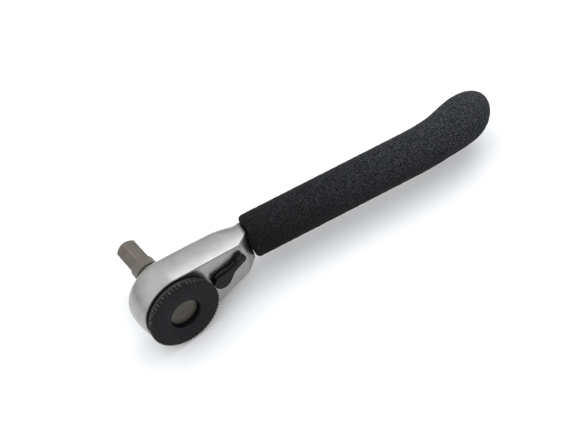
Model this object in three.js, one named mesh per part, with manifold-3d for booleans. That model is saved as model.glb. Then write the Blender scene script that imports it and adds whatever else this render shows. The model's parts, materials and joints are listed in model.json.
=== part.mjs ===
// Hand bit ratchet: a teardrop head with a knurled thumbwheel, a reversing lever, a hexagon key
// bit in its drive socket, and a forged shank that leans and bends back inside a foam grip.
//
// Frame while building: millimetres, drive axis along Y through the origin, thumbwheel's outer face
// at y = 0, bit pointing to +Y, handle to +X, +Z up with the tool lying on its side. The finished
// group is moved so that the origin is at the middle of its footprint, at the lowest level.
import * as THREE from "three";
import { mergeVertices } from "three/addons/utils/BufferGeometryUtils.js";
import Module from "manifold-3d";

const wasm = await Module();
wasm.setup();

const rad = THREE.MathUtils.degToRad;

// Driving dimensions, in mm and degrees.
const WHEEL = { radius: 11, rim: 1.5, bore: 4.7, hub: 6.9, hubEnd: 2.9, knurls: 60, knurlDepth: 0.28 };
const SEAL = { inner: 7.3, outer: 10.4, front: 1.8, back: 2.9 };
const HEAD = { radius: 11.6, front: 3.2, back: 14, taper: 12.4, crown: 0.6, fillet: 2.6, reach: 31 };
const WALL_END = 5.2; // inner side of the head's front wall
const CAVITY_END = 12.2; // floor of the recess that the back cover lies in
const POCKET = { start: 3, side: 5.3, corner: 11.5, round: 3.6 }; // room for the pawl and the lever's shaft
const AXLE = { stub: 4.5, stubFront: 1.5, front: 5.6, rear: 5.0, rearEnd: 14.9 };
const GEAR = { teeth: 36, tip: 6.4, root: 5.8, start: 5.6, end: 11.4 };
const SOCKET = { flats: 6.6, floor: 3.7, phase: 36 };
const MAGNET = { radius: 2.8, front: 4, back: 5.2 };
const BIT = { flats: 6.35, start: 5.5, tip: 33.4, cornerBreak: 0.8 };
const BIT_NECK = { start: 15.2, radius: 3.45 };
const BIT_FLARE = { start: 20.2, radius: 4.2, end: 24.4, endRadius: 3.7 };
const COVER = { radius: 9.3, end: 20.9, taper: 20, front: 12.5, back: 13.9 };
const SCREW = {
  head: 1.1, shank: 0.7, length: 4.3, // radii and length
  slot: 1.5, slotWidth: 0.32, slotDepth: 0.3, // the cross recess
  ringRadius: 8.05, ringAngle: 118, neckX: 19.1, // places of the two at the round end and the one at the neck
};
const PAWL = { pivotX: 8.2, rock: 8, pin: 0.8, pinStart: 4.3, halfHeight: 4.4 };
const LEVER = { pivotX: 14.1, angle: 18, big: 2.8, tip: 1.7, length: 7.95, top: 1.3, bottom: 3.0 };
const LEVER_SHAFT = { radius: 2.0, end: 11.9, groove: 1.45, grooveFront: 5.4, grooveBack: 6.2 };
const LEVER_SEAL = { room: 2.75, outer: 2.65, front: 3.3, back: 3.9, roomEnd: 4.1 };
const PLUNGER = { radius: 0.8, back: 1.5, nose: 3.7, level: 8.8 };
const SPRING = { turns: 4.5, coil: 0.6, wire: 0.13, reach: 0.95, steps: 45 };
const HANDLE = { x: 28, y: 9, lean: 12.7, bendX: 80.6, bendRadius: 64.1, endAngle: 2.2, endLength: 2.2 };
const NECK = {
  end: -0.3, // where the neck steps down to the shank, along the handle from HANDLE.x
  radius: 4.2, slope: 0.95, widening: 2,
};
const ROUNDING_LEVEL = 6.5; // line parallel to X that the head's back rounds off about
const SHANK_RADIUS = 3.2;
const GRIP = {
  start: 0.05, radius: 6.66, tipRadius: 7.28, swellFrom: 62, edge: 1.3, bore: 3.6,
  dome: 11.3, lift: 1.05, // how far the rounded end reaches out and how far its point is off centre
};
const RUN = 0.25; // running clearance round pins, shafts and screws
const ROUND = 44; // segments of a full circle on the larger round pieces

const FINISH = {
  satinChrome: { color: 0xb4b7b8, roughness: 0.38, metalness: 0.9 },
  blackSteel: { color: 0x2a2b2e, roughness: 0.5, metalness: 0.5 },
  gearSteel: { color: 0x6f6d68, roughness: 0.45, metalness: 0.8 },
  bitSteel: { color: 0x857c74, roughness: 0.5, metalness: 0.7 },
  springSteel: { color: 0x9a9a98, roughness: 0.35, metalness: 0.9 },
  magnet: { color: 0x8c8c8e, roughness: 0.3, metalness: 0.9 },
  rubber: { color: 0x17171a, roughness: 0.8, metalness: 0 },
  foam: { color: 0x242427, roughness: 0.95, metalness: 0 },
};

const part = new THREE.Group();

function add(name, finish, geometry, place = part) {
  const mesh = new THREE.Mesh(geometry, new THREE.MeshStandardMaterial(FINISH[finish]));
  mesh.name = name;
  place.add(mesh);
  return mesh;
}

// Solids: three.js geometry in and out of manifold-3d, which joins and cuts.
function solid(geometry) {
  const bare = geometry.index ? geometry.toNonIndexed() : geometry.clone();
  bare.deleteAttribute("normal");
  bare.deleteAttribute("uv");
  const merged = mergeVertices(bare, 1e-4);
  return new wasm.Manifold(
    new wasm.Mesh({
      numProp: 3,
      vertProperties: new Float32Array(merged.attributes.position.array),
      triVerts: new Uint32Array(merged.index.array),
    }),
  );
}

function surface(manifold) {
  const mesh = manifold.getMesh();
  const geometry = new THREE.BufferGeometry();
  geometry.setAttribute("position", new THREE.BufferAttribute(mesh.vertProperties, 3));
  geometry.setIndex(new THREE.BufferAttribute(mesh.triVerts, 1));
  const faceted = geometry.toNonIndexed();
  faceted.computeVertexNormals();
  return faceted;
}

function join(first, ...others) {
  return surface(others.reduce((whole, next) => whole.add(solid(next)), solid(first)));
}

function cut(first, ...others) {
  return surface(others.reduce((whole, next) => whole.subtract(solid(next)), solid(first)));
}

function common(first, second) {
  return surface(solid(first).intersect(solid(second)));
}

// Basic forms, all about the drive axis direction Y. A shape's x and y are the part's x and z.
function prism(shape, front, back, curveSegments = 12) {
  const geometry = new THREE.ExtrudeGeometry(shape, {
    depth: back - front,
    bevelEnabled: false,
    curveSegments,
  });
  return geometry.rotateX(Math.PI / 2).translate(0, back, 0);
}

// A solid turned about Y from [radius, y] corners, which start and end on the axis.
function turned(corners, segments = ROUND) {
  return new THREE.LatheGeometry(
    corners.map(([r, y]) => new THREE.Vector2(r, y)),
    segments,
  );
}

function disc(radius, front, back, x = 0, z = 0, segments = ROUND) {
  const profile = [[0, front], [radius, front], [radius, back], [0, back]];
  return turned(profile, segments).translate(x, 0, z);
}

function ring(inner, outer, front, back, segments = ROUND) {
  const profile = [[inner, front], [outer, front], [outer, back], [inner, back], [inner, front]];
  return turned(profile, segments);
}

function hexagon(flats, phase) {
  const corner = flats / 2 / Math.cos(Math.PI / 6);
  const points = [];
  for (let i = 0; i < 6; i++) {
    const angle = rad(phase + 60 * i);
    points.push(new THREE.Vector2(corner * Math.cos(angle), corner * Math.sin(angle)));
  }
  return new THREE.Shape(points);
}

// A round end of the given radius about the origin, with straight sides that close in on a second
// round end, whose farthest point is at x = end.
function pear(radius, end, taper) {
  const slope = rad(taper);
  const tipX = (end - radius) / (1 - Math.sin(slope));
  const tipRadius = end - tipX;
  const shape = new THREE.Shape();
  shape.absarc(0, 0, radius, Math.PI / 2 - slope, 1.5 * Math.PI + slope, false);
  shape.absarc(tipX, 0, tipRadius, -Math.PI / 2 + slope, Math.PI / 2 - slope, false);
  return shape;
}

// Tapered outline of the head at a given inset from its widest outline, as points round the head.
function headOutline(inset) {
  const slope = rad(HEAD.taper);
  const radius = HEAD.radius - inset;
  const steps = 40;
  const points = [];
  for (let i = 0; i <= steps; i++) {
    const angle = Math.PI / 2 - slope + (i / steps) * (Math.PI + 2 * slope);
    points.push([radius * Math.cos(angle), radius * Math.sin(angle)]);
  }
  const endHalf = (radius - HEAD.reach * Math.sin(slope)) / Math.cos(slope);
  points.push([HEAD.reach, -endHalf], [HEAD.reach, endHalf]);
  return points;
}

// Inset of the head's side wall at a depth: a shallow crown, and a rounded back edge.
function headInset(y) {
  const middle = (HEAD.front + HEAD.back) / 2;
  const crown = HEAD.crown * ((y - middle) / (middle - HEAD.front)) ** 2;
  const past = Math.max(0, (y - (HEAD.back - HEAD.fillet)) / HEAD.fillet);
  return crown + HEAD.fillet * (1 - Math.sqrt(Math.max(0, 1 - past * past)));
}

function headBlank() {
  const levels = [];
  const walls = 7;
  for (let i = 0; i <= walls; i++) {
    levels.push(HEAD.front + (i / walls) * (HEAD.back - HEAD.fillet - HEAD.front));
  }
  for (const turn of [25, 45, 65, 80]) {
    levels.push(HEAD.back - HEAD.fillet + HEAD.fillet * Math.sin(rad(turn)));
  }
  levels.push(HEAD.back);
  const outlines = levels.map((y) => headOutline(headInset(y)).map(([x, z]) => [x, y, z]));
  return skin(outlines, true);
}

// A closed skin over rings of points, each ring with the same number of points.
function skin(rings, turnsOutward) {
  const count = rings[0].length;
  const vertices = [];
  const triangles = [];
  const face = (a, b, c) => triangles.push(...(turnsOutward ? [a, c, b] : [a, b, c]));
  for (const points of rings) vertices.push(...points.flat());
  for (let k = 0; k + 1 < rings.length; k++) {
    for (let i = 0; i < count; i++) {
      const next = (i + 1) % count;
      face(k * count + i, k * count + next, (k + 1) * count + i);
      face(k * count + next, (k + 1) * count + next, (k + 1) * count + i);
    }
  }
  for (const [k, start] of [[0, true], [rings.length - 1, false]]) {
    const middle = [0, 1, 2].map((axis) => rings[k].reduce((sum, p) => sum + p[axis], 0) / count);
    const hub = vertices.push(...middle) / 3 - 1;
    for (let i = 0; i < count; i++) {
      const next = (i + 1) % count;
      if (start) face(hub, k * count + next, k * count + i);
      else face(hub, k * count + i, k * count + next);
    }
  }
  const geometry = new THREE.BufferGeometry();
  geometry.setAttribute("position", new THREE.Float32BufferAttribute(vertices, 3));
  geometry.setIndex(triangles);
  return geometry;
}

// The handle's centre line: straight and leaning to the thumbwheel side, then bent back. It lies in
// the plane z = 0 and is measured by the length from HANDLE.x.
const lean = rad(HANDLE.lean);
const straight = (HANDLE.bendX - HANDLE.x) / Math.cos(lean);
const bend = HANDLE.bendRadius * (lean + rad(HANDLE.endAngle));
const HANDLE_LENGTH = straight + bend + HANDLE.endLength;

function handlePoint(length) {
  const run = Math.min(length, straight);
  const arc = Math.min(Math.max(length - straight, 0), bend);
  const rest = Math.max(length - straight - bend, 0);
  const angle = -lean + arc / HANDLE.bendRadius;
  const radius = HANDLE.bendRadius;
  const x = HANDLE.x + run * Math.cos(lean) + radius * (Math.sin(angle) + Math.sin(lean));
  const y = HANDLE.y - run * Math.sin(lean) + radius * (Math.cos(lean) - Math.cos(angle));
  return { x: x + rest * Math.cos(angle), y: y + rest * Math.sin(angle), angle };
}

// A round bar along the handle's centre line, through [length, radius, shift off the line] stations.
function bar(stations, sides) {
  const rings = stations.map(([length, radius, shift]) => {
    const { x, y, angle } = handlePoint(length);
    const points = [];
    for (let i = 0; i < sides; i++) {
      const turn = (2 * Math.PI * i) / sides;
      const across = shift + radius * Math.cos(turn);
      points.push([x - across * Math.sin(angle), y + across * Math.cos(angle), radius * Math.sin(turn)]);
    }
    return points;
  });
  return skin(rings, false);
}

// Stations from start to end, with a domed end that reaches out by dome and leans off by lift.
function barStations(start, end, steps, radiusAt, dome, lift = 0) {
  const stations = [];
  for (let i = 0; i <= steps; i++) {
    const length = start + ((end - start) * i) / steps;
    stations.push([length, radiusAt(length), 0]);
  }
  const endRadius = radiusAt(end);
  for (const turn of [14, 28, 42, 56, 70, 82]) {
    const reach = Math.sin(rad(turn));
    stations.push([end + dome * reach, endRadius * Math.cos(rad(turn)), lift * reach ** 2]);
  }
  return stations;
}

function shank() {
  const stations = barStations(-4, HANDLE_LENGTH - 2, 18, () => SHANK_RADIUS, SHANK_RADIUS);
  return bar(stations, 16);
}

// Everything of the head that the neck's tapered form keeps. The form is turned about the handle's
// centre line and then widened across the head.
function neckForm() {
  const far = 45;
  const corners = [
    [0, -far],
    [NECK.radius + NECK.slope * (far + NECK.end), -far],
    [NECK.radius, NECK.end],
    [0, NECK.end],
  ];
  const form = turned(corners).rotateZ(-(Math.PI / 2 + lean)).scale(1, 1, NECK.widening);
  return form.translate(HANDLE.x, HANDLE.y, 0);
}

// The back of the head rounds off towards the neck, about a line parallel to X nearer its front.
function backRounding() {
  const corners = [
    [0, -20],
    [30, -20],
    [12.8, 9],
    [10.8, 15],
    [9.9, 19.5],
    [8.3, 23],
    [7, 26],
    [6.7, 32],
    [0, 32],
  ];
  const form = turned(corners);
  return form.rotateZ(-Math.PI / 2).translate(0, ROUNDING_LEVEL, 0);
}

function screwPlaces() {
  const places = [{ x: SCREW.neckX, z: 0 }];
  for (const side of [1, -1]) {
    const angle = rad(side * SCREW.ringAngle);
    places.push({ x: SCREW.ringRadius * Math.cos(angle), z: SCREW.ringRadius * Math.sin(angle) });
  }
  return places;
}

function pawlPocket() {
  const shape = new THREE.Shape();
  shape.moveTo(POCKET.start, -POCKET.side);
  shape.lineTo(POCKET.corner, -POCKET.side);
  shape.absarc(LEVER.pivotX, 0, POCKET.round, -Math.PI / 3, Math.PI / 3, false);
  shape.lineTo(POCKET.corner, POCKET.side);
  shape.lineTo(POCKET.start, POCKET.side);
  return prism(shape, WALL_END, CAVITY_END + 0.1);
}

function ratchetBody() {
  const coverRoom = pear(COVER.radius + 0.3, COVER.end + 0.3, COVER.taper);
  const hollows = [
    disc(AXLE.front + RUN, HEAD.front - 1, WALL_END + 0.1),
    disc(GEAR.tip + 0.35, WALL_END, CAVITY_END + 0.1),
    pawlPocket(),
    disc(LEVER_SHAFT.radius + RUN, HEAD.front - 1, WALL_END + 0.1, LEVER.pivotX),
    disc(LEVER_SEAL.room, HEAD.front - 1, LEVER_SEAL.roomEnd, LEVER.pivotX),
    disc(PAWL.pin + 0.2, PAWL.pinStart - 0.3, WALL_END + 0.1, PAWL.pivotX, 0, 16),
    prism(coverRoom, CAVITY_END, HEAD.back + 1, 18),
    ...screwPlaces().map(({ x, z }) =>
      disc(SCREW.shank + RUN, COVER.back - SCREW.length - 0.3, CAVITY_END + 0.1, x, z, 16),
    ),
  ];
  const head = common(common(headBlank(), neckForm()), backRounding());
  return cut(join(head, shank()), ...hollows);
}

function foamGrip() {
  const end = HANDLE_LENGTH;
  const swell = (length) => {
    const t = Math.min(Math.max((length - GRIP.swellFrom) / (end - GRIP.swellFrom), 0), 1);
    return GRIP.radius + (GRIP.tipRadius - GRIP.radius) * t * t * (3 - 2 * t);
  };
  const edge = [0, 30, 60, 90].map((turn) => [
    GRIP.start + GRIP.edge * (1 - Math.cos(rad(turn))),
    GRIP.radius - GRIP.edge * (1 - Math.sin(rad(turn))),
    0,
  ]);
  const outside = [...edge, ...barStations(GRIP.start + 4, end, 16, swell, GRIP.dome, GRIP.lift)];
  const inside = barStations(GRIP.start - 2, end - 1.6, 16, () => GRIP.bore, GRIP.bore);
  return cut(bar(outside, 28), bar(inside, 14));
}

function thumbwheel() {
  const points = [];
  for (let i = 0; i < WHEEL.knurls; i++) {
    for (const [share, radius] of [[0, WHEEL.radius], [0.5, WHEEL.radius - WHEEL.knurlDepth]]) {
      const angle = (2 * Math.PI * (i + share)) / WHEEL.knurls;
      points.push(new THREE.Vector2(radius * Math.cos(angle), radius * Math.sin(angle)));
    }
  }
  const rim = prism(new THREE.Shape(points), 0, WHEEL.rim);
  const hub = disc(WHEEL.hub, 1, WHEEL.hubEnd);
  return cut(join(rim, hub), disc(WHEEL.bore, -1, WHEEL.hubEnd + 1));
}

// Outline of the ratchet gear. Growing it gives the room that the pawl's teeth keep.
function gearShape(grow) {
  const points = [];
  const pitch = (2 * Math.PI) / GEAR.teeth;
  const widen = grow > 0 ? 0.07 : 0;
  const corners = [
    [-0.3 - widen, GEAR.root],
    [-0.13 - widen, GEAR.tip],
    [0.13 + widen, GEAR.tip],
    [0.3 + widen, GEAR.root],
  ];
  for (let i = 0; i < GEAR.teeth; i++) {
    for (const [share, radius] of corners) {
      const angle = (i + share) * pitch;
      const grown = radius + grow;
      points.push(new THREE.Vector2(grown * Math.cos(angle), grown * Math.sin(angle)));
    }
  }
  return new THREE.Shape(points);
}

function driveGear() {
  const axle = turned([
    [0, AXLE.stubFront],
    [AXLE.stub, AXLE.stubFront],
    [AXLE.stub, HEAD.front + 0.1],
    [AXLE.front, HEAD.front + 0.1],
    [AXLE.front, GEAR.start + 0.2],
    [AXLE.rear, GEAR.start + 0.2],
    [AXLE.rear, AXLE.rearEnd],
    [0, AXLE.rearEnd],
  ]);
  const toothed = prism(gearShape(0), GEAR.start, GEAR.end);
  const socket = prism(hexagon(SOCKET.flats, SOCKET.phase), SOCKET.floor, AXLE.rearEnd + 1);
  return cut(join(axle, toothed), socket);
}

// Key bit: a hexagon shank in the socket, a turned neck, a flare that closes in on the key, and the
// hexagon key itself with its end's corners broken.
function hexBit() {
  const shankPart = prism(hexagon(BIT.flats, SOCKET.phase), BIT.start, BIT_NECK.start + 0.2);
  const neckAndFlare = turned([
    [0, BIT_NECK.start],
    [BIT_NECK.radius, BIT_NECK.start],
    [BIT_NECK.radius, BIT_FLARE.start - 0.1],
    [BIT_FLARE.radius, BIT_FLARE.start + 0.1],
    [BIT_FLARE.radius - 0.25, BIT_FLARE.start + 1],
    [BIT_FLARE.endRadius + 0.05, BIT_FLARE.start + 2.4],
    [BIT_FLARE.endRadius, BIT_FLARE.end],
    [BIT.flats / 2, BIT_FLARE.end + 0.3],
    [0, BIT_FLARE.end + 0.3],
  ]);
  const corner = BIT.flats / 2 / Math.cos(Math.PI / 6);
  const brokenEnd = turned([
    [0, BIT_NECK.start],
    [corner + 1, BIT_NECK.start],
    [corner + 1, BIT.tip - BIT.cornerBreak - 1],
    [corner - BIT.cornerBreak - 0.1, BIT.tip + 0.1],
    [0, BIT.tip + 0.1],
  ]);
  const key = common(prism(hexagon(BIT.flats, SOCKET.phase), BIT_FLARE.start + 0.4, BIT.tip), brokenEnd);
  return join(shankPart, neckAndFlare, key);
}

function backCover() {
  const plate = prism(pear(COVER.radius, COVER.end, COVER.taper), COVER.front, COVER.back, 18);
  const countersink = [
    [0, COVER.front - 1],
    [SCREW.shank + RUN, COVER.front - 1],
    [SCREW.shank + RUN, COVER.front + 0.5],
    [SCREW.head + RUN, COVER.back - 0.35],
    [SCREW.head + RUN, COVER.back + 1],
    [0, COVER.back + 1],
  ];
  const countersinks = screwPlaces().map(({ x, z }) => turned(countersink, 24).translate(x, 0, z));
  return cut(plate, disc(AXLE.rear + RUN, COVER.front - 1, COVER.back + 1), ...countersinks);
}

function coverScrew() {
  const flatHead = turned([
    [0, COVER.back - SCREW.length],
    [SCREW.shank, COVER.back - SCREW.length],
    [SCREW.shank, COVER.front + 0.5],
    [SCREW.head, COVER.back - 0.3],
    [SCREW.head, COVER.back - 0.05],
    [0, COVER.back - 0.05],
  ], 24);
  const { slot, slotWidth, slotDepth } = SCREW;
  const slots = [[slot, slotWidth], [slotWidth, slot]].map(([wide, high]) =>
    new THREE.BoxGeometry(wide, 2 * slotDepth, high).translate(0, COVER.back, 0),
  );
  return cut(flatHead, ...slots);
}

// Two-ended pawl in its middle position. Its teeth are what the gear leaves of a blank at every
// angle that the pawl rocks through, and its back is what the plunger's nose leaves.
function pawl() {
  const half = PAWL.halfHeight;
  const back = LEVER.pivotX - PLUNGER.nose;
  const corners = [
    [3.4, -half],
    [7, -half],
    [back - 0.6, -2.4],
    [back, 0],
    [back - 0.6, 2.4],
    [7, half],
    [3.4, half],
  ];
  const blank = new THREE.Shape(corners.map(([x, z]) => new THREE.Vector2(x, z)));
  const tools = [disc(PAWL.pin + 0.2, GEAR.start - 1, GEAR.end + 1, PAWL.pivotX, 0, 16)];
  for (let angle = -PAWL.rock; angle <= PAWL.rock; angle += 4) {
    const gearRoom = prism(gearShape(0.12), GEAR.start - 1, GEAR.end + 1);
    const noseRoom = disc(PLUNGER.nose + 0.2, GEAR.start - 1, GEAR.end + 1, LEVER.pivotX);
    for (const tool of [gearRoom, noseRoom]) {
      tools.push(tool.translate(-PAWL.pivotX, 0, 0).rotateY(rad(-angle)).translate(PAWL.pivotX, 0, 0));
    }
  }
  return cut(prism(blank, GEAR.start, GEAR.end), ...tools).translate(-PAWL.pivotX, 0, 0);
}

function leverOutline() {
  const shape = new THREE.Shape();
  const flank = rad(50);
  shape.absarc(0, 0, LEVER.big, flank, 2 * Math.PI - flank, false);
  shape.quadraticCurveTo(4, -LEVER.tip + 0.1, LEVER.length, -LEVER.tip);
  shape.absarc(LEVER.length, 0, LEVER.tip, -Math.PI / 2, Math.PI / 2, false);
  shape.quadraticCurveTo(4, LEVER.tip - 0.1, LEVER.big * Math.cos(flank), LEVER.big * Math.sin(flank));
  return shape;
}

// The thumb rib stands along the side of the lever that faces up.
function leverRib() {
  const shape = new THREE.Shape();
  shape.moveTo(-0.6, 2.2);
  shape.quadraticCurveTo(3.4, 1.35, LEVER.length + 0.2, 1.1);
  shape.quadraticCurveTo(LEVER.length + 1.1, 0.7, LEVER.length + 0.4, 0.1);
  shape.quadraticCurveTo(3.6, 0.25, 0.2, 0.9);
  return prism(shape, LEVER.top - 0.6, LEVER.top + 0.2);
}

// Built along +X about its own pivot. A cross bore holds the plunger and its spring.
function reversingLever() {
  const plate = prism(leverOutline(), LEVER.top, LEVER.bottom, 16);
  const { radius, end, groove, grooveFront, grooveBack } = LEVER_SHAFT;
  const shaft = turned([
    [0, LEVER.bottom - 0.2],
    [radius, LEVER.bottom - 0.2],
    [radius, grooveFront],
    [groove, grooveFront],
    [groove, grooveBack],
    [radius, grooveBack],
    [radius, end],
    [0, end],
  ], 32);
  const bore = disc(PLUNGER.radius + 0.2, -4, 1.4, 0, 0, 16);
  bore.rotateZ(-Math.PI / 2).translate(0, PLUNGER.level, 0);
  return cut(join(plate, leverRib(), shaft), bore);
}

function leverClip() {
  const shape = new THREE.Shape();
  const gap = rad(32);
  shape.absarc(0, 0, 3.2, gap, 2 * Math.PI - gap, false);
  shape.absarc(0, 0, LEVER_SHAFT.groove + 0.2, 2 * Math.PI - gap, gap, true);
  return prism(shape, LEVER_SHAFT.grooveFront + 0.15, LEVER_SHAFT.grooveBack - 0.15, 16);
}

// Plunger along -X from the lever's axis, with a round nose.
function pawlPlunger() {
  const nose = [0, 30, 60].map((turn) => [
    PLUNGER.radius * Math.cos(rad(turn)),
    PLUNGER.nose - PLUNGER.radius + PLUNGER.radius * Math.sin(rad(turn)),
  ]);
  const profile = [[0, PLUNGER.back], [PLUNGER.radius, PLUNGER.back], ...nose, [0, PLUNGER.nose]];
  return turned(profile, 20).rotateZ(Math.PI / 2).translate(0, PLUNGER.level, 0);
}

// The plunger's spring at its pressed length, across the lever's shaft.
class Coil extends THREE.Curve {
  getPoint(t, target = new THREE.Vector3()) {
    const { turns, coil, reach } = SPRING;
    const turn = 2 * Math.PI * turns * t;
    const along = reach * (1 - 2 * t);
    return target.set(along, PLUNGER.level + coil * Math.cos(turn), coil * Math.sin(turn));
  }
}

function pawlSpring() {
  const wire = new THREE.Shape();
  wire.absarc(0, 0, SPRING.wire, 0, 2 * Math.PI, false);
  const options = { steps: SPRING.steps, curveSegments: 2, extrudePath: new Coil() };
  return new THREE.ExtrudeGeometry(wire, options);
}

add("ratchet_body", "satinChrome", ratchetBody());
add("foam_grip", "foam", foamGrip());
add("thumbwheel", "blackSteel", thumbwheel());
add("thumbwheel_seal", "rubber", ring(SEAL.inner, SEAL.outer, SEAL.front, SEAL.back));
add("drive_gear", "gearSteel", driveGear());
add("bit_magnet", "magnet", disc(MAGNET.radius, MAGNET.front, MAGNET.back, 0, 0, 24));
add("hex_bit", "bitSteel", hexBit());
const washer = ring(AXLE.rear + RUN, GEAR.tip - 0.1, GEAR.end + 0.25, CAVITY_END - 0.2);
add("thrust_washer", "springSteel", washer);
add("back_cover", "satinChrome", backCover());
screwPlaces().forEach(({ x, z }, i) => {
  add(`cover_screw_${i + 1}`, "springSteel", coverScrew()).position.set(x, 0, z);
});
add("pawl_pin", "springSteel", disc(PAWL.pin, PAWL.pinStart, CAVITY_END - 0.2, PAWL.pivotX, 0, 16));

// At rest the pawl holds with its lower end, and the lever points up.
const rockedPawl = add("pawl", "gearSteel", pawl());
rockedPawl.position.x = PAWL.pivotX;
rockedPawl.rotation.y = rad(PAWL.rock);

const leverGroup = new THREE.Group();
leverGroup.position.x = LEVER.pivotX;
leverGroup.rotation.y = rad(-LEVER.angle);
part.add(leverGroup);
add("reversing_lever", "blackSteel", reversingLever(), leverGroup);
add("lever_clip", "springSteel", leverClip(), leverGroup);
add("pawl_plunger", "springSteel", pawlPlunger(), leverGroup);
add("pawl_spring", "springSteel", pawlSpring(), leverGroup);
const leverSeal = ring(LEVER_SHAFT.radius + 0.1, LEVER_SEAL.outer, LEVER_SEAL.front, LEVER_SEAL.back, 32);
add("lever_seal", "rubber", leverSeal).position.x = LEVER.pivotX;

// The origin goes to the middle of the footprint, at the lowest level.
part.updateMatrixWorld(true);
const box = new THREE.Box3().setFromObject(part, true);
const middle = box.getCenter(new THREE.Vector3());
part.position.set(-middle.x, -middle.y, -box.min.z);

export default part;
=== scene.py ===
"""Looks of a small hand bit ratchet: satin chrome head and neck, black thumbwheel and lever, a
bead-blasted hexagon key bit, and a moulded foam grip on a bent handle.

Shapes are worked out in the tool's own frame, in millimetres: the drive axis runs along Y through
the origin, the thumbwheel's outer face is at y = 0, the bit points to +Y and the handle to +X.
"""

import json
import math

import bpy
import numpy as np
from mathutils import Matrix, Vector


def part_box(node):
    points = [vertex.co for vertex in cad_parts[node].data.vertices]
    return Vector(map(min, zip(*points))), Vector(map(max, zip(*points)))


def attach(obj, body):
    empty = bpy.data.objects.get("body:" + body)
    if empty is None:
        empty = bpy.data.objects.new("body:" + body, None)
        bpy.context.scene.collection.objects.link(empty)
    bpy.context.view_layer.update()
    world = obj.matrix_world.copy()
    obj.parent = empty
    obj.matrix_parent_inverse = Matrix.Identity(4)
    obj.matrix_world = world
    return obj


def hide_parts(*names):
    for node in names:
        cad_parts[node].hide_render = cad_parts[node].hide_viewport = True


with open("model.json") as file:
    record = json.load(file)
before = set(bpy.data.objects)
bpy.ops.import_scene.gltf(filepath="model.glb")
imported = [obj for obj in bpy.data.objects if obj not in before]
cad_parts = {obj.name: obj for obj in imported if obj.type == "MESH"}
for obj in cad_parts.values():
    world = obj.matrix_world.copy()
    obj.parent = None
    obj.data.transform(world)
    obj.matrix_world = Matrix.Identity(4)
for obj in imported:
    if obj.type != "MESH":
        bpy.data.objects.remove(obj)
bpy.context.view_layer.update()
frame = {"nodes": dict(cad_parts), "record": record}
NODES = frame["nodes"]

MM = 0.001
WHEEL_LOW, WHEEL_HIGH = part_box("thumbwheel")
ORIGIN = Vector(((WHEEL_LOW.x + WHEEL_HIGH.x) / 2, WHEEL_LOW.y, (WHEEL_LOW.z + WHEEL_HIGH.z) / 2))

# Sizes in mm and degrees. They are the CAD model's own, apart from the bit's neck, sideways play and
# collar, and the lever's arm, ledge and pad, which have finer forms here.
WHEEL = {"radius": 11, "rim": 1.5, "bore": 4.7, "hub": 6.9, "hub_end": 2.9, "knurls": 60, "knurl_depth": 0.28}
SEAL = {"inner": 7.3, "outer": 10.4, "front": 1.8, "back": 2.9}
HEAD = {"radius": 11.6, "front": 3.2, "back": 14, "taper": 12.4, "crown": 0.6, "fillet": 2.6}
WALL_END = 5.2  # inner side of the head's front wall
CAVITY_END = 12.2  # floor of the cover's seat
POCKET = {"start": 3, "side": 5.3, "corner": 11.5, "round": 3.6}
AXLE = {"stub": 4.5, "stub_front": 1.5, "front": 5.6, "rear": 5.0, "rear_end": 14.9}
GEAR = {"teeth": 36, "tip": 6.4, "root": 5.8, "start": 5.6, "end": 11.4}
SOCKET = {"flats": 6.6, "floor": 3.7, "phase": 36}
BIT = {"flats": 6.35, "start": 5.5, "tip": 33.4, "corner_break": 0.8}
BIT_NECK = {"start": 15.2, "radius": 3.6}
BIT_FLARE = {"start": 19.9, "radius": 4.2, "end": 24.4, "end_radius": 3.7}
BIT_RUNOUT = {"radius": 3.2, "slope": 1.9}  # cone that ends the collar between the key's corners
BIT_SHIFT = -0.1  # sideways play of the bit in its socket
COVER = {"radius": 9.3, "end": 20.9, "taper": 20, "front": 12.5, "back": 13.9}
SCREW = {"head": 1.1, "shank": 0.7, "length": 4.3, "slot": 1.5, "slot_width": 0.32, "slot_depth": 0.35,
         "ring_radius": 8.05, "ring_angle": 118, "neck_x": 19.1, "depth": 0.05,
         "cone_start": 0.5, "cone_slope": 0.5}
PAWL = {"pivot_x": 8.2, "pin": 0.8, "pin_start": 4.3}
LEVER = {"pivot_x": 14.1, "angle": 18, "big": 2.8, "length": 7.95, "top": 1.3, "bottom": 3.0}
LEVER_ARM = {"radius": 1.2, "tip_radius": 1.35, "swell": (5.5, 8.0), "sideways": 0.1, "fillet": 2.0,
             "lift": 0.5, "lift_from": (3.5, 6.0)}
LEDGE = 2.3  # level of the lever's lower ledge
LEVER_PAD = {"x": 7.5, "y": 2.25, "z": 0.62, "half_x": 1.7, "half_y": 0.92, "half_z": 0.93}
LEVER_SHAFT = {"radius": 2.0, "end": 11.9, "groove": 1.45, "groove_front": 5.4, "groove_back": 6.2}
LEVER_SEAL = {"room": 2.75, "outer": 2.65, "front": 3.3, "back": 3.9, "room_end": 4.1}
PLUNGER = {"radius": 0.8, "level": 8.8}
HANDLE = {"x": 28, "y": 9, "lean": 12.7, "bend_x": 80.6, "bend_radius": 64.1, "end_angle": 2.2,
          "end_length": 2.2}
NECK = {"end": -0.3, "radius": 4.2, "slope": 0.95, "widening": 2}
SHANK_RADIUS = 3.2
GRIP = {"start": 0.05, "radius": 6.66, "tip_radius": 7.28, "dome": 11.3, "lift": 1.05, "swell_from": 62,
        "edge": 1.3, "bore": 3.6}
RUN = 0.25  # clearance round what turns

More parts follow.
